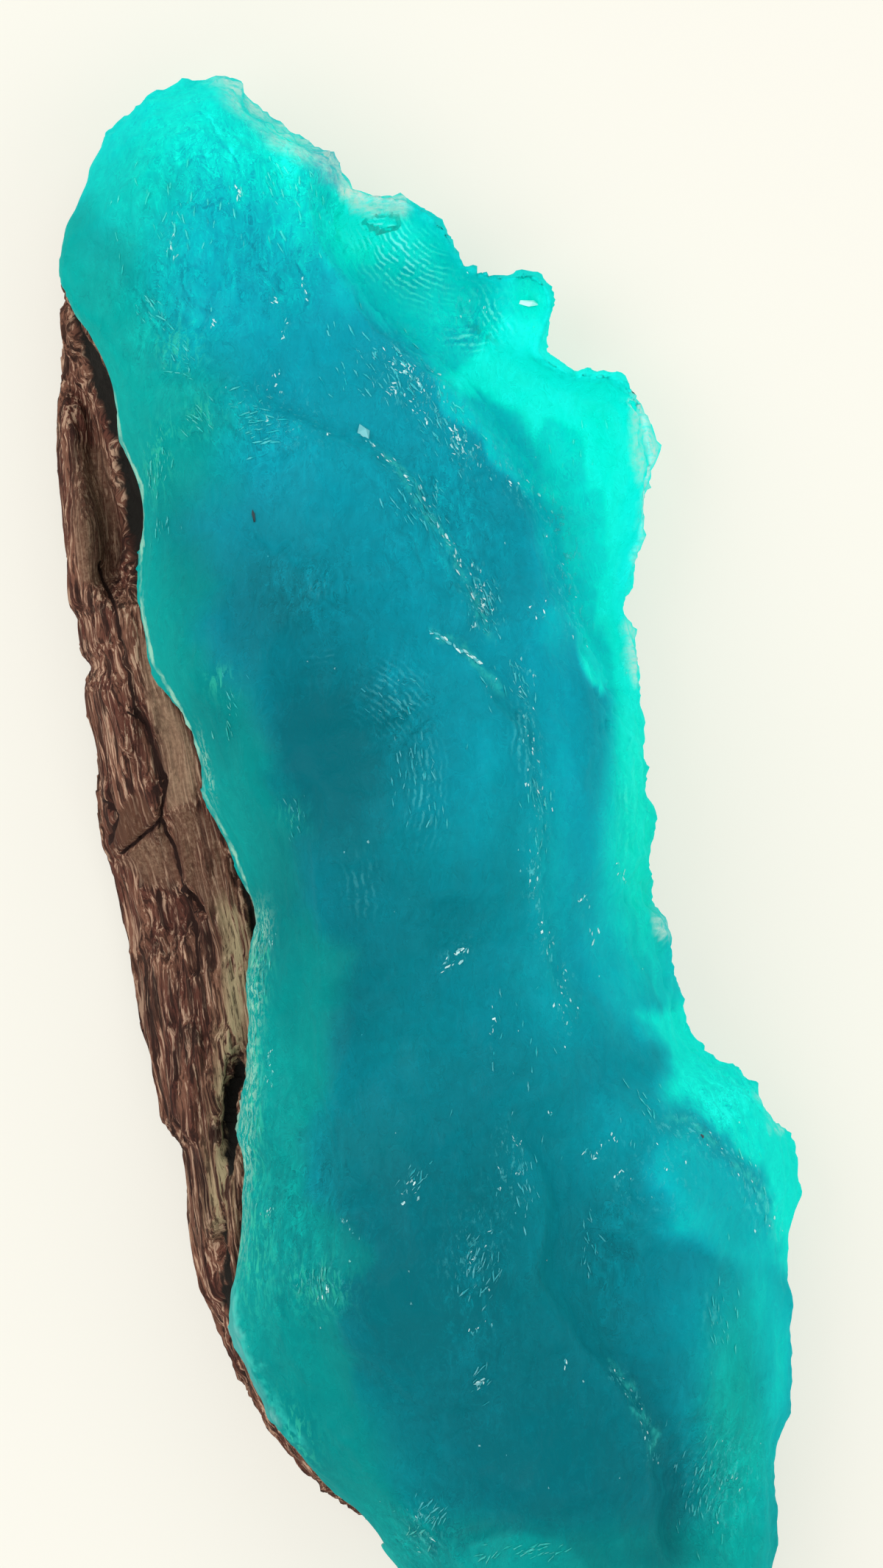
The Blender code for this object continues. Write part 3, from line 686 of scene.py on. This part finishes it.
def paintBlue():
    paint = Paint("waxyBlueHemimorphite", streakTones)
    cloud = paint.noise(9.0, 3.0, 0.6)
    fine = paint.noise(0.6, 4.0, 0.6)
    streak = paint.noise(0.45, 4.0, 0.65, (1.0, 4.0), 0.8)
    mottle = paint.noise(1.3, 4.0, 0.7, (1.0, 1.6), 1.0)
    rough = paint["rough"]
    depth = paint["depth"] + (cloud - 0.5) * 0.16 + (fine - 0.5) * 0.06
    depth = depth + (mottle - 0.5) * (0.16 + rough * 0.5) + (0.5 - streak) * (0.1 + rough * 0.35)
    veins = paint.noise(1.6, 4.0, 0.65, (1.0, 1.7), 1.6)
    veins = veins.hump(0.475, 0.5, 0.5, 0.515) - veins.hump(0.5, 0.52, 0.52, 0.56) * 0.7
    depth = depth + veins * (0.06 + rough * 0.12)
    # Painted shade along the fine creases, with a lighter side as if lit
    crease = paint["crease"] + paint.stray(12.0, 0.9, 3.0, 0.7)
    crease = crease.hump(-4.0, -1.0, 0.0, 2.0) - crease.hump(1.0, 3.0, 4.0, 8.0) * 0.6
    depth = depth + crease * paint.noise(1.1).above(0.3, 0.6) * 0.14
    ripple = paint["ripple"]
    wander = paint.stray(12.0, 2.2, 3.0, 0.7)
    turns = paint["phase"] * (2.0 * pi) + wander
    wave = turns.reckon("SINE", turns)
    broken = paint.noise(0.9, 3.0, 0.6).above(0.38, 0.58)
    depth = depth - wave * ripple * broken * 0.1
    green = paint["green"] + (cloud - 0.5) * 0.5
    paint.colour = paint.mix(green.above(), paint.ramp(depth, blueSide), paint.ramp(depth, greenSide))
    lace = paint["wisp"] * streak.above(0.5, 0.6)
    paint.cover(lace * 0.5, "wisp")
    lines = wave.above(-0.1, 0.8) * ripple * broken
    paint.cover((lines * 0.3).above(0.0, 0.9), "line")
    # Pale flecks painted as sparkle of light off the broken surface near the glints; they also roughen the
    # bump below
    frost = paint["frost"]
    sparkleFlecks = paint.noise(0.4, 3.0, 0.75, (1.0, 2.2)).above(0.55, 0.66) * frost
    paint.cover(sparkleFlecks * 0.6, "fleck")
    # Painted highlights along the ridges and edges
    edge = paint["edge"] * paint.noise(0.8).above(0.35, 0.6)
    paint.cover(edge * 0.42, "edge")
    crust = paint["crust"] * paint.noise(0.4, 3.0, 0.7, (2.6, 1.0)).above(0.15, 0.8)
    paint.cover(crust, "crust")
    paint.cover(paint["chip"] * 0.8, "chip")
    # A pale line along the brown: a thin pale crust there, also painted brighter as the lit edge of the blue
    beside = paint["beside"] + paint.stray(1.2, 1.5)
    contact = 1.0 - beside.above(0.5, 1.3)
    rind = paint["rind"] + paint.stray(9.0, 1.4, 4.0, 0.7)
    rind = (1.0 - rind.reckon("ABSOLUTE", rind).above(0.8, 3.2)) * paint["rindShare"]
    rind = rind * paint.noise(1.8).above(0.3, 0.6)
    paint.cover(contact.reckon("MAXIMUM", contact, rind) * 0.7, "contact")
    fringe = paint["fringe"] * paint.noise(0.36, 4.0, 0.7, (1.0, 1.8)).above(0.48, 0.58)
    paint.cover(fringe * 0.75, "contact")
    level = paint["level"]
    normal = paint.bump(mottle * level, 0.11 * mm)
    small = streak * rough * 0.8 + lines * 0.5 + sparkleFlecks * 1.2 + fine * 0.4
    normal = paint.bump(small * level, 0.06 * mm, normal)
    paint.set(Base_Color=paint.colour, Roughness=0.76 - level * 0.5 + fine * 0.15, IOR=1.6, Normal=normal)
    paint.set(Subsurface_Weight=0.3, Subsurface_Scale=3 * mm, Subsurface_Radius=(0.3, 1.0, 0.9),
              Specular_IOR_Level=0.03)
    return paint.material


def makeBlue(brownThing):
    thing = evenCopy(blue["node"], "blueHemimorphite", *blue["even"])
    carveBlue(thing)
    gradeBlue(thing, brownThing)
    return finish(thing, paintBlue())


# Small facets on the broken blue surface, painted pale as glints of light on them

glints = {
    "patches": [  # a patch, count, shortest and longest in pixels
        (327, 262, 5, 16, 0, 6, 6, 12), (236, 330, 12, 30, 10, 12, 4, 9),
        (555, 515, 26, 54, -30, 90, 3, 9), (626, 605, 18, 44, -34, 50, 3, 9),
        (372, 405, 10, 20, -20, 6, 4, 8), (388, 442, 12, 14, 0, 8, 4, 9), (413, 392, 5, 22, -10, 6, 4, 8),
        (288, 443, 14, 16, -30, 7, 4, 9), (655, 815, 18, 40, -15, 70, 3, 10),
        (728, 833, 10, 24, 25, 8, 4, 9), (740, 722, 10, 8, 0, 5, 5, 9), (667, 932, 9, 16, 0, 9, 4, 8),
        (710, 915, 16, 26, 0, 10, 3, 8), (795, 1225, 10, 18, 0, 10, 4, 8),
        (809, 1268, 5, 12, 15, 6, 6, 12), (618, 1299, 10, 28, 48, 20, 5, 11),
        (671, 1405, 6, 34, 0, 8, 3, 8), (702, 1552, 10, 10, 0, 6, 3, 7), (750, 1508, 4, 12, 0, 4, 3, 7),
        (812, 1562, 10, 16, 20, 10, 4, 9), (838, 1550, 18, 5, 0, 5, 3, 7),
        (847, 1615, 10, 26, 20, 8, 3, 7), (558, 1609, 12, 18, 40, 12, 4, 8),
        (849, 1190, 12, 16, 0, 12, 4, 8), (654, 1880, 14, 12, 30, 10, 5, 12),
        (656, 1806, 12, 10, 0, 8, 3, 8), (690, 1600, 22, 60, 0, 16, 3, 7),
        (640, 1700, 30, 50, 20, 14, 3, 8), (900, 1600, 50, 60, 0, 10, 3, 6),
        (768, 1850, 6, 8, 30, 3, 5, 9), (365, 1460, 14, 34, 0, 14, 3, 7), (364, 1646, 8, 20, 0, 9, 3, 8),
        (434, 1745, 34, 26, 30, 18, 3, 8), (483, 1674, 16, 12, 0, 10, 3, 7),
        (575, 2085, 20, 34, -35, 14, 4, 10), (990, 2010, 40, 60, 0, 18, 3, 7),
        (350, 1270, 16, 34, 0, 14, 3, 8), (630, 410, 60, 60, 0, 10, 3, 6),
        (380, 560, 60, 34, 25, 18, 3, 8),
    ],
    "lines": [  # line, how far from it in pixels, count, shortest and longest
        (ridgeLine[2:], 5, 46, (4, 12)), (shortRidge[:3], 3, 22, (6, 14)), (spineLine, 9, 56, (3, 8)),
        (creaseLine[1:5], 6, 18, (3, 8)), (stepLine[4:], 16, 24, (3, 8)), (hipLine, 14, 16, (3, 8)),
    ],
    "strokes": [  # fine lighter strokes: a patch with the way they run as its turn, count
        (209, 420, 22, 26, -40, 22), (243, 484, 24, 28, -45, 34), (272, 566, 26, 22, -45, 18),
        (214, 632, 20, 40, 5, 40), (220, 716, 24, 28, 0, 16), (355, 568, 40, 44, 75, 44),
        (470, 480, 60, 60, -30, 20), (533, 509, 44, 44, -30, 50), (600, 590, 40, 50, -30, 40),
        (566, 680, 40, 50, -30, 40), (662, 822, 26, 44, -15, 40), (700, 930, 30, 40, -20, 26),
        (533, 948, 50, 36, -42, 14), (570, 1056, 50, 72, 0, 40), (731, 1096, 18, 54, 0, 24),
        (790, 606, 56, 40, 10, 12), (240, 290, 90, 70, 0, 40), (400, 250, 60, 70, -20, 40),
        (310, 960, 30, 60, -20, 16), (400, 1110, 16, 30, -20, 16), (352, 1310, 12, 60, 0, 50),
        (340, 1520, 14, 120, 0, 50), (564, 1604, 24, 20, 35, 14), (428, 1744, 32, 26, 20, 34),
        (650, 1725, 34, 56, 25, 44), (716, 1604, 30, 60, 0, 26), (800, 1676, 14, 50, -15, 18),
        (654, 1876, 14, 20, 35, 10), (952, 2024, 36, 90, 5, 60), (575, 2068, 28, 28, 40, 40),
        (710, 2112, 60, 12, 62, 30), (980, 1790, 26, 60, 0, 26), (1010, 1600, 40, 70, -25, 18),
        (870, 1500, 40, 40, 0, 14), (700, 1430, 60, 90, 0, 16),
    ],
    "everywhere": 60,
    "lone": [  # middle, length, slimness, turn, paleness; pale ones are painted highlights, and below 0 a dark speck of the stone
        ((494, 589), 32, 0.6, -8, 0.36), ((718, 413), 32, 0.35, 82, 0.8),
        ((345, 702), 20, 0.24, -12, -1.0), ((954, 1545), 7, 0.8, 0, -1.0),
    ],
    "height": 0.35,  # of the low pyramid, to its width
    "lift": 0.06,  # out of the surface, to its length
    "scatter": (0.4, 3.5),  # chance that one isn't beside the last, and pixels between those that are
    # the pale tone that paints the glints, and a dark one for specks
    "bright": (214, 250, 250),
    "dark": (4, 40, 50),
}


def addFacet(points, faces, middle, facing, along, length, width, chance):  # a low pyramid half sunk in
    side = facing.cross(along).normalized()
    count = chance.choice((3, 4, 4, 5))
    first = len(points)
    start = chance.uniform(0.0, 6.28)
    for step in range(count):
        turn = start + 2.0 * pi * (step + chance.uniform(-0.25, 0.25)) / count
        points.append(middle + along * (cos(turn) * length / 2) + side * (sin(turn) * width / 2))
    lean = along * chance.uniform(-0.2, 0.2) * length + side * chance.uniform(-0.3, 0.3) * width
    points.append(middle + lean + facing * width * glints["height"])
    points.append(middle - facing * width * glints["height"])
    for step in range(count):
        here, there = first + step, first + (step + 1) % count
        faces.append((here, there, first + count))
        faces.append((there, here, first + count + 1))
    return count + 2


def inReach(chance, x, y, wide, tall, turn):  # a random pixel in a soft patch
    angle = radians(turn)
    across, down = chance.gauss(0, 0.5) * wide, chance.gauss(0, 0.5) * tall
    return (x + across * cos(angle) - down * sin(angle), y + across * sin(angle) + down * cos(angle))


def glintPlaces(chance):  # pixel, length, slimness, turn, paleness
    places = []
    parting, step = glints["scatter"]
    for *patch, turn, count, shortest, longest in glints["patches"]:
        spot = None
        for _ in range(count):
            if spot is None or chance.random() < parting:
                spot = inReach(chance, *patch, turn)
            else:
                spot = (spot[0] + chance.gauss(0, step), spot[1] + chance.gauss(0, step))
            shape = (chance.uniform(shortest, longest), chance.uniform(0.15, 0.5), turn + chance.gauss(0, 30))
            places.append((spot, *shape, chance.random() ** 1.4))
    for line, spread, count, lengths in glints["lines"]:
        for _ in range(count):
            piece = chance.randrange(len(line) - 1)
            (x0, y0), (x1, y1) = line[piece], line[piece + 1]
            share = chance.random()
            spot = (x0 + (x1 - x0) * share + chance.gauss(0, spread), y0 + (y1 - y0) * share)
            turn = degrees(atan2(x0 - x1, y1 - y0)) + chance.gauss(0, 20)
            places.append((spot, chance.uniform(*lengths), chance.uniform(0.25, 0.6), turn, chance.random()))
    for *patch, turn, count in glints["strokes"]:
        for _ in range(count):
            spot = inReach(chance, *patch, 0.0)
            shape = (chance.uniform(7, 20), chance.uniform(0.1, 0.2), turn + chance.gauss(0, 14))
            places.append((spot, *shape, 0.12 * chance.random()))
    for _ in range(glints["everywhere"]):
        spot = (chance.uniform(180, 1060), chance.uniform(160, 2120))
        shape = (chance.uniform(2.5, 5), chance.uniform(0.5, 0.9), chance.gauss(0, 20))
        places.append((spot, *shape, chance.uniform(0.05, 0.5)))
    return places + glints["lone"]


def paintGlints():
    paint = Paint("paintedGlintFacets", glints)
    # Facets are painted lighter than the stone under them and, by their paleness, near-white: painted glints
    depth, pale = paint["depth"] * 0.66, paint["pale"]
    paint.colour = paint.mix(paint["green"], paint.ramp(depth, blueSide), paint.ramp(depth, greenSide))
    paint.cover(pale.above(), "bright")
    paint.cover((0.0 - pale).above(), "dark")
    paint.set(Base_Color=paint.colour, Roughness=0.2, IOR=1.6, Specular_IOR_Level=0.4)
    return paint.material


def makeGlints(blueThing):
    chance = random.Random(41)
    tree = treeOf(blueThing)
    under = blueThing.data
    points, faces = [], []
    values = {"depth": [], "green": [], "pale": []}
    for spot, length, slimness, turn, pale in glintPlaces(chance):
        middle, facing, face = underPixel(tree, spot)
        if middle is None or facing.z < 0.3:
            continue
        angle = radians(turn)
        along = Vector(-sin(angle) * viewRight - cos(angle) * viewUp)
        along = (along - facing * along.dot(facing)).normalized()
        size = length * view["pixel"]
        middle = middle + facing * size * glints["lift"]
        count = addFacet(points, faces, middle, facing, along, size, size * slimness, chance)
        corner = under.polygons[face].vertices[0]
        for name in ("depth", "green"):
            values[name] += [under.attributes[name].data[corner].value] * count
        values["pale"] += [pale] * count
    mesh = bpy.data.meshes.new("paintedGlintFacets")
    mesh.from_pydata(points, [], faces)
    thing = addThing("paintedGlintFacets", mesh)
    giveValues(thing, **values)
    mesh.validate()
    return finish(thing, paintGlints(), smooth=False)


# The brown limonite

brown = {
    "node": "limonite_matrix",
    "even": (0.28 * mm, 3),  # this and the next as in blue
    "stray": (6, 1.6 * mm, 7.3, 2.6),
    "fibres": [(0.4, 0.7 * mm, 5.1), (0.25, 1.6 * mm, 1.1)],  # height in millimetres, size, seed
    "fibreLength": 12.0,  # to their width
    "shells": (0.25, 4.5 * mm, 2.2),  # the same
    "crackDepth": 0.7,  # in millimetres, as the next
    "hollowDepth": 0.9,
}
stripLine = [(72, 250), (100, 420), (112, 560), (125, 700), (150, 900), (190, 1100), (235, 1300), (262, 1500),
             (285, 1700), (320, 1850), (400, 2020)]
brownCracks = [  # cracks, carved in and painted dark as the shade in them: line, half width in pixels, how dark
    ([(165, 967), (190, 980), (207, 1022), (224, 1060), (218, 1115), (233, 1152), (245, 1203), (270, 1237),
      (290, 1250)], 4, 1.0),
    ([(218, 1115), (195, 1136), (161, 1163)], 3, 0.9),
    ([(169, 900), (182, 960), (205, 1010), (220, 1070)], 8, 0.8),
    ([(135, 760), (160, 840), (170, 900)], 4, 0.7), ([(245, 1210), (262, 1260), (270, 1330)], 9, 0.7),
    ([(142, 1085), (160, 1108), (148, 1150)], 3, 0.3),
]
brownPlates = [  # smooth breaks: outline, how light
    ([(150, 1128), (166, 1100), (184, 1076), (200, 1090), (212, 1118), (195, 1136), (166, 1160),
      (148, 1164)], 0.0),
    ([(162, 1170), (195, 1140), (218, 1120), (231, 1152), (241, 1196), (234, 1212), (204, 1206),
      (184, 1190)], 0.35),
    ([(190, 862), (203, 880), (212, 912), (236, 962), (262, 1010), (270, 1050), (266, 1090), (228, 1102),
      (224, 1060), (216, 1022), (204, 975), (192, 920)], 0.7),
    ([(98, 600), (140, 610), (158, 680), (166, 760), (150, 800), (112, 790), (98, 700)], 0.35),
    ([(230, 1106), (262, 1092), (286, 1112), (302, 1160), (310, 1226), (294, 1244), (264, 1214), (246, 1186),
      (237, 1150)], 0.3),
]
brownDark = [  # darker patches
    (262, 1262, 38, 62, -10), (250, 1420, 24, 70), (278, 1620, 12, 70), (203, 1020, 14, 70, -14),
    (203, 1030, 12, 60, -14), (262, 1262, 26, 46, -10), (205, 1345, 44, 90, -8), (120, 1010, 16, 90, -4),
    (240, 1560, 30, 90),
]
# Where the brown sinks into a hollow under the blue's edge, painted near-black as shade there and partly a
# dark layer of the rock
recessArea = [(74, 372), (104, 424), (124, 470), (146, 505), (158, 560), (172, 610), (190, 665), (200, 720),
              (204, 760), (196, 812), (185, 818), (180, 790), (175, 740), (170, 700), (160, 655), (150, 600),
              (136, 550), (116, 520), (106, 470), (98, 440)]
recesses = [  # hollows along the blue, carved in and painted near-black as shade under the blue's edge, partly a dark layer of the rock: line and half width in pixels
    ([(306, 1150), (326, 1200), (346, 1250), (352, 1310)], 6),
    ([(332, 1400), (322, 1460), (315, 1520), (310, 1580), (305, 1640)], 9),
    ([(308, 1600), (301, 1700), (306, 1800), (330, 1880), (380, 1960)], 7),
]
oliveFringe = ([(300, 1200), (322, 1270), (322, 1340), (314, 1420), (304, 1520), (298, 1620),
                (294, 1700)], 19)

brownTones = {
    "red": (98, 58, 48), "bark": (128, 88, 71), "light": (204, 168, 142), "dark": (44, 27, 23),
    "plate": (84, 56, 42), "pale plate": (172, 142, 116), "olive": (170, 154, 120), "recess": (32, 30, 27),
}


def carveBrown(thing):
    points = pointsOf(thing)
    spots = toPicture(points)
    side, passed = besideLine(spots, stripLine)
    run = passed * np.hypot(*np.diff(np.array(stripLine), axis=0).T).sum()
    across, along = side * view["pixel"], run * view["pixel"]
    grain = np.stack([across, along / brown["fibreLength"], points[:, 2]], axis=1)
    plates, plateTone = np.zeros(len(points)), np.zeros(len(points))
    for outline, light in brownPlates:
        mask = inOutline(spots, outline, 5)
        plateTone = np.where(mask > plates, light, plateTone)
        plates = np.maximum(plates, mask)
    cracks = np.zeros(len(points))
    for line, width, dark in brownCracks:
        cracks = np.maximum(cracks, dark * alongLine(spots, line, width))
    crackSide = nearestOf(spots, [crack[0] for crack in brownCracks], 99.0, -1.0)
    ragged = strayed(spots, points, *brown["stray"])
    hollow = inOutline(ragged, recessArea, 5)
    upward = soft((pointsOf(thing, "normal")[:, 2] + 0.15) / 0.5)
    for line, width in recesses:
        hollow = np.maximum(hollow, alongLine(ragged, line, width, 0.3))
    rise = sum(height * bumps(grain, size, seed) for height, size, seed in brown["fibres"])
    height, size, seed = brown["shells"]
    rise = (rise + height * shells(points, size, seed)) * (1 - 0.7 * plates)
    pushOut(thing, rise - brown["crackDepth"] * cracks - brown["hollowDepth"] * hollow)
    giveValues(
        thing,
        across=across / mm,
        along=along / mm,
        crack=cracks,
        crackSide=np.clip(crackSide, -30, 30),
        plate=plates,
        plateTone=plateTone,
        gloom=np.clip(inPatches(spots, brownDark), 0, 1),
        hollow=hollow * upward,
        olive=alongLine(spots, *oliveFringe),
    )


def paintBrown():
    paint = Paint("fibrousLimonite", brownTones)
    height = paint.node("SeparateXYZ", {}, {"Vector": paint.place()}, out=2)
    across, along = paint["across"], paint["along"]
    fibres = paint.node("CombineXYZ", {}, {"X": across, "Y": along / 22.0, "Z": height})
    bands = paint.node("CombineXYZ", {}, {"X": across, "Y": along / 5.0, "Z": height})
    streak = paint.noise(0.22, 4.0, 0.65, at=fibres, warp=0.2)
    veins = paint.noise(0.5, 4.0, 0.65, at=fibres, warp=0.3)
    broad = paint.noise(1.5, 3.0, 0.55, at=bands)
    paint.colour = paint.mix(broad.above(0.4, 0.6), brownTones["red"], brownTones["bark"])
    plate = paint["plate"] * (0.45 + broad.above(0.35, 0.6) * 0.35)
    smooth = paint["plateTone"] + paint.stray(1.6, 0.35, 4.0, 0.75)
    smooth = paint.mix(smooth.above(), brownTones["plate"], brownTones["pale plate"])
    paint.cover(streak.above(0.53, 0.61) * 0.85, "light")
    paint.colour = paint.mix(plate, paint.colour, smooth)
    lace = paint["olive"] * veins.above(0.44, 0.54)
    paint.cover(lace * 0.9, "olive")
    # The fibres' grooves painted dark as the shade in them
    shadedGrooves = (1.0 - veins.above(0.41, 0.47)) * (1.0 - plate)
    hairs = (1.0 - streak.above(0.42, 0.47)) * (1.0 - plate)
    paint.cover(hairs * 0.75, "dark")
    paint.cover(shadedGrooves * 0.85, "dark")
    gloom = paint["gloom"] * (1.0 - veins.above(0.4, 0.62))
    paint.cover(gloom * 0.9, "dark")
    # The cracks painted dark: painted shade inside them
    thin = paint["crackSide"] + paint.stray(5.0, 0.7)
    thin = (1.0 - thin.reckon("ABSOLUTE", thin).above(1.4, 3.0)) * paint["crack"].above(0.02, 0.12)
    paint.cover((paint["crack"] * 0.5 + thin).above(0.0, 0.9), "dark")
    # The hollows painted near-black: shade under the blue's edge, partly a dark layer of the rock
    ragged = paint["hollow"] + paint.stray(0.7, 0.8)
    paint.cover(ragged.above(0.3, 0.75), "recess")
    normal = paint.bump(streak + veins * 1.5, 0.2 * mm)
    normal = paint.bump(paint.noise(0.3), 0.05 * mm, normal)
    paint.set(Base_Color=paint.colour, Roughness=0.85, Normal=normal, Specular_IOR_Level=0.15)
    return paint.material


def makeBrown():
    thing = evenCopy(brown["node"], "limoniteStrip", *brown["even"])
    carveBrown(thing)
    return finish(thing, paintBrown())


# Table, light and camera

table = {"size": 3.0, "tone": (150, 148, 141), "glow": (250, 248, 238), "strength": 0.66, "rough": 0.7}
lamps = {
    "places": [  # name, azimuth and elevation in degrees, watts
        ("window", 150.0, 46.0, 7.5), ("far wall", 60.0, 42.0, 4.0),
        ("near wall", 245.0, 42.0, 4.0), ("door", 330.0, 42.0, 4.0),
    ],
    "distance": 1.2,
    "size": 1.2,
    "light": (1.0, 0.99, 0.97),
}
room = {"light": (1.0, 0.99, 0.96), "strength": 0.42}


def makeTable():
    clearSelection()
    bpy.ops.mesh.primitive_plane_add(size=table["size"], location=(0.0, 0.0, 0.0))
    floor = bpy.context.object
    floor.name = "table"
    paint = Paint("paleTable")
    paint.set(Base_Color=table["tone"], Roughness=table["rough"], Specular_IOR_Level=0.1)
    paint.set(Emission_Color=table["glow"], Emission_Strength=table["strength"])
    floor.data.materials.append(paint.material)
    return floor


def makeLamps():
    for name, azimuth, elevation, watts in lamps["places"]:
        place = wayAt(radians(azimuth), radians(90.0 - elevation))
        lamp = bpy.data.lights.new(name, "AREA")
        lamp.shape = "DISK"
        lamp.size = lamps["size"]
        lamp.energy = watts
        lamp.color = lamps["light"]
        holder = addThing(name, lamp)
        holder.location = place * lamps["distance"]
        holder.rotation_euler = (-place).to_track_quat("-Z", "Y").to_euler()
    world = bpy.data.worlds.new("soft room")
    world.use_nodes = True
    backdrop = world.node_tree.nodes["Background"].inputs
    backdrop["Color"].default_value = (*room["light"], 1.0)
    backdrop["Strength"].default_value = room["strength"]
    bpy.context.scene.world = world


def makeCamera():
    camera = bpy.data.cameras.new("camera")
    camera.sensor_fit = "VERTICAL"
    camera.sensor_height = 36.0
    camera.lens = camera.sensor_height * view["distance"] / (view["height"] * view["pixel"])
    camera.clip_start = 0.01
    holder = addThing("camera", camera)
    holder.location = (*view["middle"], cameraHeight)
    holder.rotation_euler = (0.0, 0.0, -leanAngle)
    bpy.context.scene.camera = holder


makeCamera()
limonite = makeBrown()
hemimorphite = makeBlue(limonite)
paintedGlintFacets = makeGlints(hemimorphite)

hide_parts(brown["node"])
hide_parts(blue["node"])
for piece, slot in ((limonite, "limonite"), (hemimorphite, "hemimorphite"), (paintedGlintFacets, "hemimorphite")):
    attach(piece, "root")

floor = makeTable()
makeLamps()
bpy.context.scene.view_settings.view_transform = "Standard"
print("table, light and camera set")
